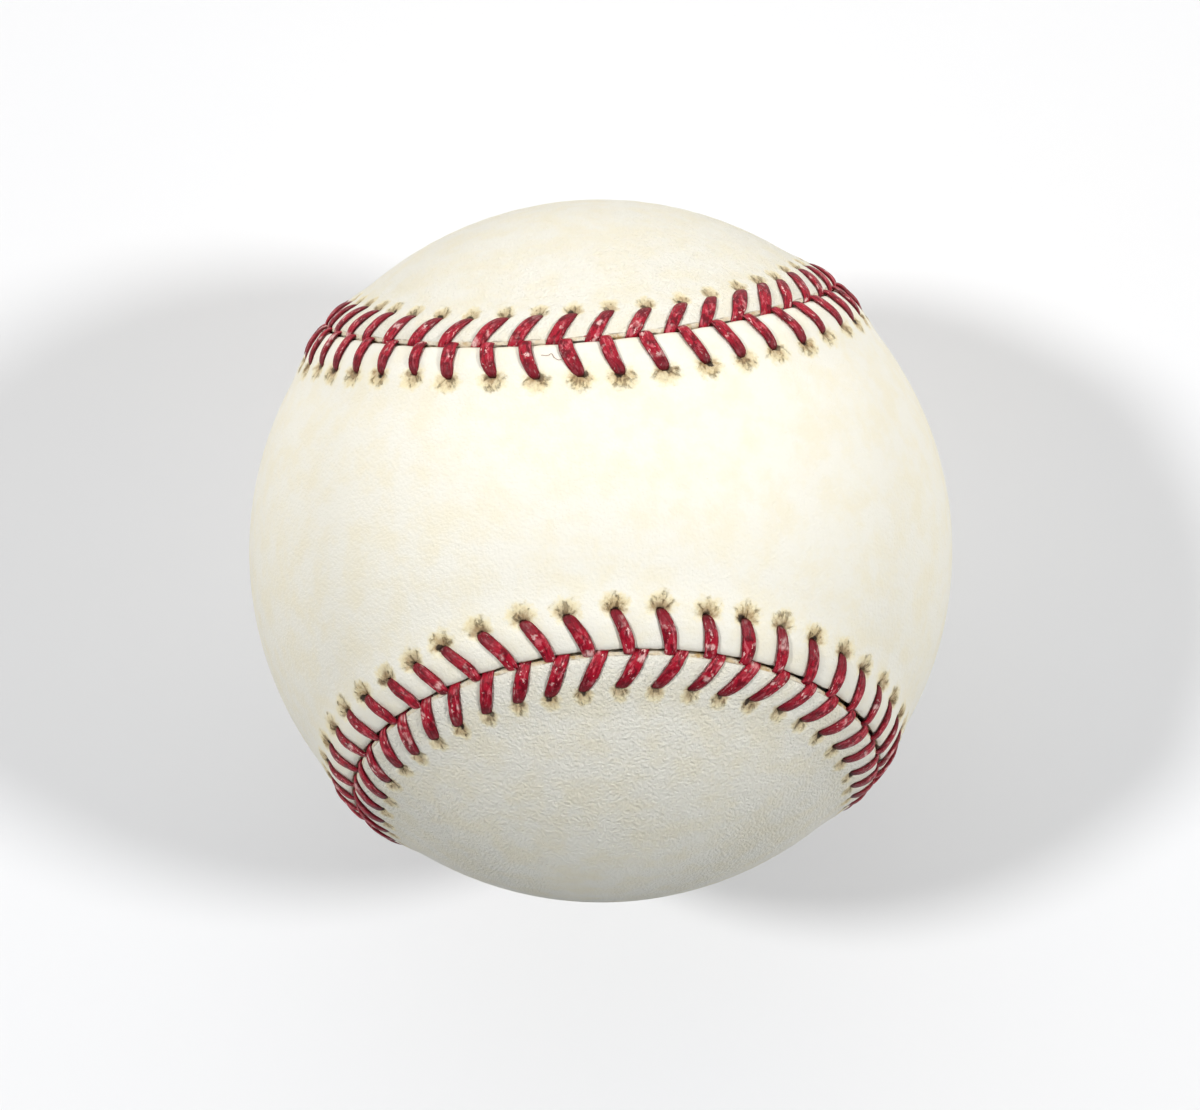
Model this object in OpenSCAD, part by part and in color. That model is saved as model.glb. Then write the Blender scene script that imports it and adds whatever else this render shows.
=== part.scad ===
// Baseball: a rubber-covered cork core, wound with yarn and covered with two
// figure-of-eight leather panels that are laced together with a raised cross stitch.
// The origin is the centre of the ball. +Z passes through the waist of the upper panel,
// whose two lobes lie along +X and -X; the lower panel's lobes lie along +Y and -Y.

/* [Centre] */
// Diameter of the cork core
core_d = 20.6; // [17:0.1:24]
// Wall of the two black rubber shells round the core
inner_shell_t = 4; // [2.5:0.1:6]
// Thickness of each of the two washers between the black shells
washer_t = 0.8; // [0.4:0.1:1.5]
// Wall of the red rubber shell round the black ones
outer_shell_t = 2.4; // [1.5:0.1:4]

/* [Windings] */
// Depth of the first winding, of coarse grey wool
first_winding_t = 14.6; // [12:0.1:16]
// Depth of the second winding, of white wool
second_winding_t = 1.7; // [1:0.1:3]
// Depth of the third winding, of fine grey wool
third_winding_t = 2.2; // [1:0.1:3]
// Depth of the finishing winding, of white cotton yarn
finishing_winding_t = 0.3; // [0.2:0.05:1]
// Thickness of the rubber cement over the windings
cement_t = 0.15; // [0.1:0.05:0.3]

/* [Cover] */
// Thickness of the leather
leather_t = 1.2; // [1:0.05:1.5]
// Height of the raised seam above the smooth leather
ridge_h = 0.6; // [0.4:0.05:0.8]
// Distance from the seam to the crest of the ridge
crest_reach = 1.3; // [1.1:0.05:1.6]
// Distance from the seam to where the ridge has sunk into the smooth ball
ridge_reach = 7.5; // [6:0.1:9]
// Gap between the two leather edges, between one stitch and the next
seam_gap = 0.2; // [0.1:0.05:0.3]

/* [Lacing] */
// Number of stitches round the seam, a multiple of four
stitch_count = 108; // [100:4:112]
// Distance from the seam to the line of stitch holes
hole_reach = 3.75; // [3.4:0.05:4.2]
// Width of a stitch where it lies over the leather
thread_w = 1.45; // [1.1:0.05:1.55]
// Width of the thread where it is drawn through a hole or the seam
neck_w = 0.56; // [0.5:0.02:0.6]
// Thickness of the flattened thread
thread_t = 0.5; // [0.4:0.02:0.6]

/* [Hidden] */

// Clearances: between two layers, under the leather, round the thread, of thread over leather,
// and between the two threads where they dive side by side
layer_gap = 0.05;
cover_gap = 0.35;
thread_gap = 0.1;
lying_gap = 0.05;
dive_gap = 0.36;
// Clearance under the hidden runs of the thread, which are straight over a round winding
run_gap = 0.12;

// Outer radius of each layer
core_r = core_d / 2;
inner_shell_r = core_r + inner_shell_t;
outer_shell_r = inner_shell_r + outer_shell_t;
first_winding_r = outer_shell_r + first_winding_t;
second_winding_r = first_winding_r + second_winding_t;
third_winding_r = second_winding_r + third_winding_t;
finishing_winding_r = third_winding_r + finishing_winding_t;
cement_r = finishing_winding_r + cement_t;
leather_in_r = cement_r + cover_gap;
ball_r = leather_in_r + leather_t;

// The seam line, as shares of its own circle: how far it bends inwards four times a turn,
// and how far it swings up and down twice a turn
seam_bend_share = 0.488;
seam_swing_share = 1.1755;
// Number of steps in which the seam's length is measured
seam_steps = 720;

// Places along the seam, as shares of the pitch: the first stitch, how far hand sewing drifts
// from even spacing, and how far the holes lie behind the point of each V
first_stitch_share = 0.13;
drift_share = 0.29;
hole_back_share = 0.4;
// Where the sewing runs furthest ahead, as a share of the whole seam
drift_peak_share = 0.25;
// Heights of the leather above the smooth ball, as shares of the ridge: under a stitch, and
// in the pillow between two stitches, at the edge, the crest and both sides of the holes
edge_h_share = [0.15, 0.25];
crest_h_share = [0.6, 1];
hole_in_h_share = [0.15, 0.6];
hole_out_h_share = [0.15, 0.5];
// Rows of points between the foot of the ridge and the middle line of a panel
row_share = [0.16, 0.33, 0.5, 0.66, 0.83];
// Angle from the middle of a panel to the middle of each of its round lobes
lobe_angle = 90;
// Distance from the seam where a stitch has narrowed to its neck, as a share of the crest's
neck_reach_share = 0.4;
// How far the thread ends run on past the last stitch, as a share of the way to the first
tail_share = 0.5;

function unit(v) = v / norm(v);

// The seam line on a sphere of radius 1: u runs once round it in 360 degrees
function seam_dir(u) = unit([
    cos(u) - seam_bend_share * cos(3 * u),
    sin(u) + seam_bend_share * sin(3 * u),
    -seam_swing_share * cos(2 * u)]);

// Running length of that line against u
seam_table = [
    for (
        i = 0, here = seam_dir(0), run = 0;
        i <= seam_steps;
        i = i + 1, next = seam_dir(360 * i / seam_steps), run = run + norm(next - here), here = next
    ) [run, 360 * i / seam_steps]];
seam_length = seam_table[seam_steps][0] * ball_r;
pitch = seam_length / stitch_count;

function seam_angle(s) =
    let (turns = floor(s / seam_length))
    lookup((s - turns * seam_length) / ball_r, seam_table) + 360 * turns;

// A place given by its distance s along the seam, its distance q to the left of it, and its
// distance r from the centre
function place(s, q, r) =
    let (
        u = seam_angle(s),
        up = seam_dir(u),
        along = unit(seam_dir(u + 0.5) - seam_dir(u - 0.5)),
        left = cross(up, along),
        a = q / ball_r * 180 / PI
    ) r * (cos(a) * up + sin(a) * left);

// Place along the seam of the point of the V of stitch i
function stitch_s(i) =
    pitch * (i + first_stitch_share + drift_share * cos(360 * (i / stitch_count - drift_peak_share)));

// The two threads dive side by side; side is 1 on the upper panel and -1 on the lower one
dive_s = (neck_w + dive_gap) / 2;
hole_s = -hole_back_share * pitch;
neck_reach = neck_reach_share * crest_reach;
// Middle of a stitch, q away from the seam
function leg_s(q, side) =
    let (share = max(0, (q - neck_reach) / (hole_reach - neck_reach)))
    -side * dive_s * (1 - share) + hole_s * share;

// Half sizes of a hole and of the slot that the thread passes between the leather edges
hole_half_s = neck_w / 2 + thread_gap;
hole_half_q = thread_t / 2 + thread_gap;
slot_half_s = dive_s + neck_w / 2 + thread_gap;
leg_half_s = thread_w / 2 + thread_gap / 2;
strip_in_r = leather_in_r + thread_t;

// One ring of points along the whole seam. Each stitch has its two edges and, unless
// there are only two columns, the middle of the pillow that follows it.
function strip_ring(side, columns, mid, half, q, q_pillow, r, r_pillow) = [
    for (i = [0 : stitch_count - 1], m = [0 : columns - 1])
        m == 2
            ? place((stitch_s(i) + stitch_s(i + 1)) / 2 + mid, side * q_pillow, r_pillow)
            : place(stitch_s(i) + mid + (m == 0 ? -half : half), side * q, r)];

// Height of the leather over the smooth ball, from its share
function leather_r(share) = ball_r + share * ridge_h;

// Coarse columns, two pitches apart, that carry the smooth leather inside the ridge
coarse_count = stitch_count / 2;
half_count = stitch_count / 4;
coarse_step = seam_length / coarse_count;
function coarse_s(side, k) = (k + 1 / 2 + (side == 1 ? 0 : coarse_count / 4)) * coarse_step;
// Both halves of a panel share the points of its middle line, which is a great circle arc
function mirrored(k) = min(k, coarse_count - 1 - k);
function line_angle(k) = let (d = seam_dir(seam_angle(coarse_s(1, k)))) atan2(d.x, d.z);
function line_dir(side, k) =
    let (a = max(-lobe_angle, min(lobe_angle, line_angle(k))))
    side == 1 ? [sin(a), 0, cos(a)] : [0, sin(a), -cos(a)];
// Columns that end together in the middle of a lobe, apart from the first of them
lobe_extra = len([for (k = [0 : half_count - 1]) if (line_angle(k) >= lobe_angle) k]) - 1;
line_last = half_count - 1 - 2 * lobe_extra;
function line_index(k) = max(0, min(line_last, mirrored(k) - lobe_extra));

function slerp(a, b, share) =
    let (w = acos(max(-1, min(1, a * b))))
    (a * sin((1 - share) * w) + b * sin(share * w)) / sin(w);

// Points of the smooth leather: the foot of the ridge, the rows inside it and the middle line
function smooth_rings(side, r) =
    let (foot = [for (k = [0 : coarse_count - 1]) unit(place(coarse_s(side, k), side * ridge_reach, r))])
    concat(
        r * foot,
        [for (share = row_share, k = [0 : coarse_count - 1])
            r * slerp(foot[k], line_dir(side, mirrored(k)), share)],
        [for (j = [0 : line_last]) r * line_dir(side, j + lobe_extra)]);

// Faces. Each set is written for the outside of the upper panel and turned where needed.
function turned(faces, flip) = flip ? [for (f = faces) [for (i = [len(f) - 1 : -1 : 0]) f[i]]] : faces;

// Triangles between two rings of n points, apart from those over the holes
function band(a, b, n, skip_every = 0) = [
    for (j = [0 : n - 1]) if (skip_every == 0 || j % skip_every != 0)
        let (k = (j + 1) % n)
        each [[a + j, b + j, b + k], [a + j, b + k, a + k]]];

// Triangles from a fine ring, with step points to each coarse one, to the coarse ring
function fan_band(a, b, step, shift) =
    let (n = step * coarse_count, half = floor(step / 2))
    [for (k = [0 : coarse_count - 1]) each concat(
        [for (j = [0 : half - 1])
            [a + (step * k + shift + j + n) % n, b + k, a + (step * k + shift + j + 1 + n) % n]],
        [[a + (step * k + shift + half + n) % n, b + k, b + (k + 1) % coarse_count]],
        [for (j = [half : step - 1])
            [a + (step * k + shift + j + n) % n, b + (k + 1) % coarse_count,
                a + (step * k + shift + j + 1 + n) % n]])];

// Triangles from the last coarse ring to the middle line
function line_band(a, b) = [
    for (k = [0 : coarse_count - 1])
        let (n = (k + 1) % coarse_count, p = b + line_index(k), t = b + line_index(n))
        each concat([[a + k, p, a + n]], p == t ? [] : [[p, t, a + n]])];

function smooth_faces(a) = concat(
    [for (row = [0 : len(row_share) - 1])
        each band(a + row * coarse_count, a + (row + 1) * coarse_count, coarse_count)],
    line_band(a + len(row_share) * coarse_count, a + (len(row_share) + 1) * coarse_count));

// A leather panel: an outer and an inner skin, the cut edge along the seam and the stitch holes
module cover_panel(side) {
    fine = 3 * stitch_count;
    pair = 2 * stitch_count;
    crest_mid = leg_s(crest_reach, side);
    hole_in_q = hole_reach - hole_half_q;
    hole_out_q = hole_reach + hole_half_q;
    slot_q = hole_half_q;
    outer = concat(
        strip_ring(side, 3, 0, slot_half_s, slot_q, seam_gap / 2,
            leather_r(edge_h_share[0]), leather_r(edge_h_share[1])),
        strip_ring(side, 3, crest_mid, leg_half_s, crest_reach, crest_reach,
            leather_r(crest_h_share[0]), leather_r(crest_h_share[1])),
        strip_ring(side, 3, hole_s, hole_half_s, hole_in_q, hole_in_q,
            leather_r(hole_in_h_share[0]), leather_r(hole_in_h_share[1])),
        strip_ring(side, 3, hole_s, hole_half_s, hole_out_q, hole_out_q,
            leather_r(hole_out_h_share[0]), leather_r(hole_out_h_share[1])),
        smooth_rings(side, ball_r));
    inner = concat(
        strip_ring(side, 2, 0, slot_half_s, slot_q, slot_q, strip_in_r, strip_in_r),
        strip_ring(side, 2, hole_s, hole_half_s, hole_in_q, hole_in_q, strip_in_r, strip_in_r),
        strip_ring(side, 2, hole_s, hole_half_s, hole_out_q, hole_out_q, strip_in_r, strip_in_r),
        smooth_rings(side, leather_in_r));
    o = 0;
    i = len(outer);
    first = side == 1 ? 0 : stitch_count / 4;
    outer_faces = concat(
        band(o, o + fine, fine),
        band(o + fine, o + 2 * fine, fine),
        band(o + 2 * fine, o + 3 * fine, fine, 3),
        fan_band(o + 3 * fine, o + 4 * fine, 6, 3 * first + 5),
        smooth_faces(o + 4 * fine));
    inner_faces = concat(
        band(i, i + pair, pair),
        band(i + pair, i + 2 * pair, pair, 2),
        fan_band(i + 2 * pair, i + 3 * pair, 4, 2 * first + 3),
        smooth_faces(i + 3 * pair));
    edge_faces = [
        for (j = [0 : stitch_count - 1])
            let (a = o + 3 * j, b = i + 2 * j, c = o + (3 * j + 3) % fine, d = i + (2 * j + 2) % pair)
            each [[a, a + 1, b + 1], [a, b + 1, b], [a + 1, a + 2, b + 1], [a + 2, c, d], [a + 2, d, b + 1]]];
    hole_faces = [
        for (j = [0 : stitch_count - 1])
            let (
                top = [o + 2 * fine + 3 * j, o + 2 * fine + 3 * j + 1,
                    o + 3 * fine + 3 * j + 1, o + 3 * fine + 3 * j],
                low = [i + pair + 2 * j, i + pair + 2 * j + 1, i + 2 * pair + 2 * j + 1, i + 2 * pair + 2 * j]
            )
            for (k = [0 : 3])
                let (n = (k + 1) % 4)
                each [[top[k], low[k], low[n]], [top[k], low[n], top[n]]]];
    polyhedron(
        points = concat(outer, inner),
        faces = turned(concat(outer_faces, turned(inner_faces, true), edge_faces, hole_faces), side == -1));
}

// The route of a thread through one stitch, as [s, q, r, width]: up through the hole, over the
// crest of the ridge, down through the seam
under_r = cement_r + run_gap + thread_t / 2;
function over_r(share) = leather_r(share) + lying_gap + thread_t / 2;
function stitch_route(i, side) =
    let (v = stitch_s(i))
    [
        [v + hole_s, side * hole_reach, under_r, neck_w],
        [v + hole_s, side * hole_reach, over_r(hole_in_h_share[0]), neck_w],
        [v + leg_s(crest_reach, side), side * crest_reach, over_r(crest_h_share[0]), thread_w],
        [v + leg_s(neck_reach, side), side * neck_reach,
            over_r(edge_h_share[0] + neck_reach_share * (crest_h_share[0] - edge_h_share[0])), neck_w],
        [v - side * dive_s, 0, over_r(edge_h_share[0]), neck_w],
        [v - side * dive_s, 0, under_r, neck_w]
    ];

// A thread takes every stitch, on one panel and the other by turns
function thread_route(first_side) =
    let (
        stitches = [for (i = [0 : stitch_count - 1])
            each stitch_route(i, i % 2 == 0 ? first_side : -first_side)],
        last = stitches[len(stitches) - 1],
        end = [stitch_s(stitch_count) + hole_s, first_side * hole_reach, under_r, neck_w]
    ) concat(stitches, [last + tail_share * (end - last)]);

// Four corners of the thread at point j of its route, mitred across the thread's thickness
function thread_ring(route, j) =
    let (
        last = len(route) - 1,
        here = route[j],
        p = route[max(0, j - 1)],
        n = route[min(last, j + 1)],
        forward = [n[1] - here[1], n[2] - here[2]],
        back = [here[1] - p[1], here[2] - p[2]],
        a = j == 0 ? unit(forward) : unit(back),
        b = j == last ? unit(back) : unit(forward),
        t = unit(a + b),
        half = thread_t / 2 / (t * a),
        m = [-t[1], t[0]] * half,
        w = here[3] / 2
    ) [
        for (corner = [[-1, -1], [1, -1], [1, 1], [-1, 1]])
            place(here[0] + corner[0] * w, here[1] + corner[1] * m[0], here[2] + corner[1] * m[1])];

module lacing_thread(first_side) {
    route = thread_route(first_side);
    rings = len(route);
    polyhedron(
        points = [for (j = [0 : rings - 1]) each thread_ring(route, j)],
        faces = concat(
            [[3, 2, 1, 0]],
            [for (j = [0 : rings - 2], k = [0 : 3])
                let (a = 4 * j + k, b = 4 * j + (k + 1) % 4)
                each [[a, b, b + 4], [a, b + 4, a + 4]]],
            [[for (k = [0 : 3]) 4 * (rings - 1) + k]]));
}

// A hollow ball; the gap to what it encloses is taken from its own wall
module layer(outer_r, held_r) {
    difference() {
        sphere(r = outer_r, $fn = 96);
        sphere(r = held_r + layer_gap, $fn = 96);
    }
}

// Half a hollow ball that stands off the middle plane by a washer: up is 1 above it and -1 below
module half_shell(up) {
    reach = inner_shell_r + inner_shell_t;
    difference() {
        layer(inner_shell_r, core_r);
        translate([0, 0, up * (washer_t + layer_gap - reach)])
            cube(2 * reach, center = true);
    }
}

// A flat ring round the core, between the two half shells
module washer(up) {
    rim_r = sqrt(inner_shell_r * inner_shell_r - washer_t * washer_t);
    translate([0, 0, up == 1 ? layer_gap / 2 : -washer_t])
        difference() {
            cylinder(h = washer_t - layer_gap / 2, r = rim_r, $fn = 96);
            translate([0, 0, -washer_t])
                cylinder(h = 3 * washer_t, r = core_r + layer_gap, $fn = 96);
        }
}

module cork_core() {
    color("peru") sphere(r = core_r, $fn = 96);
}

module inner_rubber_shell_lower() {
    color([0.09, 0.09, 0.09]) half_shell(-1);
}

module inner_rubber_shell_upper() {
    color([0.12, 0.12, 0.12]) half_shell(1);
}

module rubber_washer_lower() {
    color([0.6, 0.1, 0.08]) washer(-1);
}

module rubber_washer_upper() {
    color([0.7, 0.12, 0.1]) washer(1);
}

module outer_rubber_shell() {
    color([0.66, 0.14, 0.12]) layer(outer_shell_r, inner_shell_r);
}

module first_winding() {
    color([0.5, 0.51, 0.53]) layer(first_winding_r, outer_shell_r);
}

module second_winding() {
    color([0.9, 0.89, 0.85]) layer(second_winding_r, first_winding_r);
}

module third_winding() {
    color([0.56, 0.57, 0.6]) layer(third_winding_r, second_winding_r);
}

module finishing_winding() {
    color([0.93, 0.92, 0.88]) layer(finishing_winding_r, third_winding_r);
}

module cement_coat() {
    color([0.86, 0.82, 0.7]) layer(cement_r, finishing_winding_r);
}

module cover_panel_upper() {
    color([0.95, 0.94, 0.87]) cover_panel(1);
}

module cover_panel_lower() {
    color([0.93, 0.92, 0.85]) cover_panel(-1);
}

module lacing_thread_a() {
    color([0.72, 0.08, 0.2]) lacing_thread(1);
}

module lacing_thread_b() {
    color([0.66, 0.06, 0.18]) lacing_thread(-1);
}

cork_core();
inner_rubber_shell_lower();
inner_rubber_shell_upper();
rubber_washer_lower();
rubber_washer_upper();
outer_rubber_shell();
first_winding();
second_winding();
third_winding();
finishing_winding();
cement_coat();
cover_panel_upper();
cover_panel_lower();
lacing_thread_a();
lacing_thread_b();
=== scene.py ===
# %% [markdown]
# A baseball is a tight ball of yarn round a cork heart. Two leather panels in the shape of a
# figure eight close it, and two red waxed threads lace their edges together. This lesson dresses
# the hard frame of the ball: it makes the leather with its raised, quilted welt, the lacing that
# makes that welt, and the finishes of all that lies inside.
#
# The frame comes first, because every new piece has to lie exactly where a solid lies.

# %% Load the frame
import math

import bmesh
import bpy
import numpy as np
from mathutils import Matrix, Vector


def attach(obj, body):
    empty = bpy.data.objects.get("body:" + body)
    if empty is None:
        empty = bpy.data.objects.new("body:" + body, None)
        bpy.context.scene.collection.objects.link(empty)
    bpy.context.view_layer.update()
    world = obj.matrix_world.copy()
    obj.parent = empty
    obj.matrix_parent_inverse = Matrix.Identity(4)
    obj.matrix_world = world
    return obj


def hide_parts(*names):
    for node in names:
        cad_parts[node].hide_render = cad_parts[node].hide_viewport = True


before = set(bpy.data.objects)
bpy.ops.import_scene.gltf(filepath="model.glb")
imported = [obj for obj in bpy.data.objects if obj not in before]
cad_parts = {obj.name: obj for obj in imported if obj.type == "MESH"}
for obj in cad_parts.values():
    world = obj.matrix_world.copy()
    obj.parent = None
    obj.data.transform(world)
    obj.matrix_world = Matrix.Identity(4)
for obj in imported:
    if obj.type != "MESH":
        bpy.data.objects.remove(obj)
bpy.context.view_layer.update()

MM = 0.001

# %% [markdown]
# The camera looks down on a ball that lies on a table, from about the length of a forearm. A long
# lens keeps it round. Its place is given in radii of the ball, with the directions that point to
# the right and up in the picture, so the same lines would frame a ball of any size. The ball sits
# a few pixels off the middle of the picture, and turning the camera by that much puts it there.

# %% Camera
ball_r = 37.2
camera_radii = 8.337
to_camera = Vector((0.0218, -0.1555, 0.9876)).normalized()
picture_up = Vector((0.0783, 0.9851, 0.1534))
lens_mm = 87.3
sensor_mm = 36
frame_px = 1200
off_right_px = 0.8
off_up_px = 4.0

picture_right = picture_up.cross(to_camera).normalized()
picture_up = to_camera.cross(picture_right)
camera_at = to_camera * camera_radii * ball_r * MM
px_per_m = lens_mm / sensor_mm * frame_px / camera_at.length
target = -(picture_right * off_right_px + picture_up * off_up_px) / px_per_m
back = (camera_at - target).normalized()
right = picture_up.cross(back).normalized()
lens = bpy.data.cameras.new("table_camera")
lens.lens = lens_mm
lens.sensor_width = sensor_mm
lens.clip_start = 0.01
lens.clip_end = 20
camera = bpy.data.objects.new("table_camera", lens)
bpy.context.scene.collection.objects.link(camera)
turn = Matrix((right, back.cross(right), back)).transposed().to_4x4()
camera.matrix_world = Matrix.Translation(camera_at) @ turn
bpy.context.scene.camera = camera
print("camera", round(camera_at.length, 4), "m from the middle of the ball")

# %% [markdown]
# The seam is one closed curve that swings over the ball four times. One short formula gives it:
# a circle with a triple wave added, lifted and lowered twice a turn. Everything else on the cover
# is then counted along the seam (s), away from it (q) and out from the middle of the ball (r),
# which is how a saddler would lay out stitches.

# %% The course of the seam
seam_bend = 0.488
seam_swing = 1.1755
seam_steps = 720
stitch_count = 108
look_ahead = math.radians(0.5)


def unit(v):
    return v / np.linalg.norm(v, axis=-1, keepdims=True)


def seam_dir(u):
    """Direction from the middle of the ball to the seam, u from 0 to a full turn."""
    x = np.cos(u) - seam_bend * np.cos(3 * u)
    y = np.sin(u) + seam_bend * np.sin(3 * u)
    return unit(np.stack([x, y, -seam_swing * np.cos(2 * u)], axis=-1))


course_u = np.linspace(0, 2 * math.pi, seam_steps + 1)
course_step = np.linalg.norm(np.diff(seam_dir(course_u), axis=0), axis=1)
course_s = ball_r * np.concatenate([[0], np.cumsum(course_step)])
seam_length = course_s[-1]
pitch = seam_length / stitch_count


def seam_u(s):
    return np.interp(np.mod(s, seam_length), course_s, course_u)


def seam_frame(s):
    """Outward, forward and leftward directions at a place on the seam."""
    u = seam_u(s)
    up = seam_dir(u)
    along = unit(seam_dir(u + look_ahead) - seam_dir(u - look_ahead))
    return up, along, np.cross(up, along)


def place(s, q, r):
    """Points in metres, from distances in mm along the seam, to its left and from the middle."""
    s, q, r = np.broadcast_arrays(s, q, r)
    up, along, left = seam_frame(s)
    a = (q / ball_r)[..., None]
    return MM * r[..., None] * (np.cos(a) * up + np.sin(a) * left)


print("seam", round(seam_length, 1), "mm long, a stitch every", round(pitch, 2), "mm")

# %% [markdown]
# Each stitch is a V. Its two legs rise from holes in the two panels, cross the welt and dive
# into the seam side by side. A worker punches and pulls by hand, so no two are quite alike: the
# points drift slowly along the seam, and each hole and leg is a hair off its place. The hair comes
# from a generator with a fixed seed, so the ball is the same each time.

# %% Where the stitches are
first_stitch = 0.13
drift = 0.29
hole_back = 0.4
hole_reach = 3.75
neck_reach = 0.52
dive_apart = 0.46
bow = 0.16
hand = np.random.default_rng(8)

stitches = np.arange(stitch_count)
turn_share = stitches / stitch_count - 0.25
point_s = pitch * (stitches + first_stitch + drift * np.cos(2 * math.pi * turn_share))
point_s = point_s + hand.uniform(-0.12, 0.12, stitch_count)
SIDES = {1: "upper", -1: "lower"}

# Stretches where the hand drifted: side, middle stitch, spread in stitches, and how much more
MORE_LEAN = [(1, 78.7, 2.9, 0.24), (-1, 22, 2.5, 0.22), (-1, 32.5, 2.5, -0.25), (1, 32.5, 3, -0.2)]
MORE_REACH = [(-1, 26, 5, -0.4), (1, 30.5, 3, -0.5), (1, 22.5, 2.5, 0.25), (1, 77, 4, -0.25)]
MORE_BOW = [(1, 71, 4, -0.5), (-1, 71, 4, -0.45), (1, 20.5, 3, -0.4)]
MORE_PINCH = [(1, 71, 4, 0.35), (-1, 71, 4, 0.25), (1, 89, 4, 0.2)]
MORE_GAP = [(70, 5, 0.1), (90, 5, 0.13)]


def drifted(stretches, side):
    """What the stretches of one side add at each stitch."""
    more = np.zeros(stitch_count)
    for where, middle, spread, extra in stretches:
        if where == side:
            more += extra * np.exp(-((stitches - middle) / spread) ** 2)
    return more


hole_slip = {side: hand.uniform(-0.2, 0.2, stitch_count) - pitch * drifted(MORE_LEAN, side)
             for side in SIDES}
hole_q = {side: hole_reach + hand.uniform(-0.2, 0.2, stitch_count) + drifted(MORE_REACH, side)
          for side in SIDES}
leg_wide = {side: hand.uniform(0.9, 1.08, stitch_count) for side in SIDES}
leg_bow = {side: bow + drifted(MORE_BOW, side) for side in SIDES}
leg_pinch = {side: drifted(MORE_PINCH, side) for side in SIDES}


def smooth(low, high, x):
    t = np.clip((x - low) / (high - low), 0, 1)
    return t * t * (3 - 2 * t)


def leg_at(i, q, side):
    """Middle of the leg of stitch i, counted along the seam, at q from it."""
    k = np.mod(i, stitch_count)
    lap = np.floor_divide(i, stitch_count) * seam_length
    share = np.clip((q - neck_reach) / (hole_q[side][k] - neck_reach), 0, 1)
    lean = (hole_slip[side][k] - hole_back * pitch) * share
    lean = lean + leg_bow[side][k] * np.sin(math.pi * share)
    return lap + point_s[k] - side * dive_apart * (1 - share) + lean


print("holes", round(min(hole_q[1]), 2), "to", round(max(hole_q[1]), 2), "mm from the seam")

# %% [markdown]
# The leather doesn't lie flat by the seam. The lacing pulls the two cut edges up into a low welt,
# presses a groove where each leg crosses, and lets the leather swell into a little pillow between
# two legs. One function gives that height, so the mesh and the lacing that lies in the grooves
# always agree.

# %% Height of the leather over the smooth ball
welt_h = 0.62
welt_reach = 7.5
crest_q = 1.55
groove_share = 0.7
hole_share = 0.16

# How far each panel's cut edge is rounded down, as a share of the welt, and over how many mm
EDGE = {1: (0.72, 0.8), -1: (0.78, 1.1)}


def welt(q, side):
    """Height of the top of the pillows."""
    drop, wide = EDGE[side]
    edge = 1 - drop * np.clip(1 - q / wide, 0, 1) ** 2
    fall = 0.5 + 0.5 * np.cos(math.pi * np.clip((q - crest_q) / (welt_reach - crest_q), 0, 1))
    return welt_h * edge * fall ** 1.1


def groove(q, side):
    """Height at the middle of a leg, and in the dimple round its hole."""
    dip = groove_share + (hole_share - groove_share) * smooth(2.9, hole_reach, q)
    return welt(q, side) * (dip + (1 - dip) * smooth(hole_reach + 0.15, hole_reach + 1.5, q))


def leg_half(q):
    return 0.72 * smooth(hole_reach + 1.3, hole_reach - 1.1, q) * (1 - 0.2 * smooth(0.6, 0, q))


for name, height in (("welt", welt), ("groove", groove)):
    print(name, round(float(height(crest_q, 1)), 2), "mm high at its crest")

# %% [markdown]
# A panel could be cut from a sphere, but then its faces would cross the seam at odd angles. It is
# made as a tanner sees it instead, from the cut edge inwards: a ring of points is laid on the edge,
# and that ring is extruded row by row, closely over the welt and widely over the smooth middle,
# until the two sides meet on the middle line of the panel. Fourteen columns of faces belong to
# each stitch and follow the lean of its legs, so a groove or a hole never cuts across a face.

# %% Rows and columns of a panel
column_share = np.array([0, 0.1, 0.19, 0.25, 0.31, 0.37, 0.435, 0.5,
                         0.565, 0.63, 0.69, 0.75, 0.81, 0.9])
per_stitch = len(column_share)
column_count = per_stitch * stitch_count
column_shift = 4
hole_half_q = 0.24
strip_rows = [0.06, 0.14, 0.26, 0.42, 0.64, 0.92, 1.22, 1.55, 1.9, 2.25, 2.6, 2.95, 3.25,
              hole_reach - hole_half_q, hole_reach, hole_reach + hole_half_q,
              4.22, 4.48, 4.76, 5.06, 5.4, 5.8, 6.25, 6.75, 7.3, 7.9, 8.6]
inner_rows = [0.06, hole_reach - hole_half_q, hole_reach, hole_reach + hole_half_q, 8.6]
middle_shares = [0.08, 0.16, 0.25, 0.34, 0.43, 0.52, 0.61, 0.7, 0.79, 0.88, 0.95, 1]
inner_middle_shares = [0.25, 0.5, 0.75, 1]


def gap_wander(s, side):
    """How much wider or narrower than even the gap in the seam is, on one side of it."""
    loose = sum(more * np.exp(-((s / pitch - k) / spread) ** 2) for k, spread, more in MORE_GAP)
    return 0.025 + loose + 0.02 * np.sin(s / 2.3 + side) + 0.025 * np.sin(s / 5.1 + 2 * side)


columns = np.arange(column_count)
column_stitch = columns // per_stitch
column_step = columns % per_stitch


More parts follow.
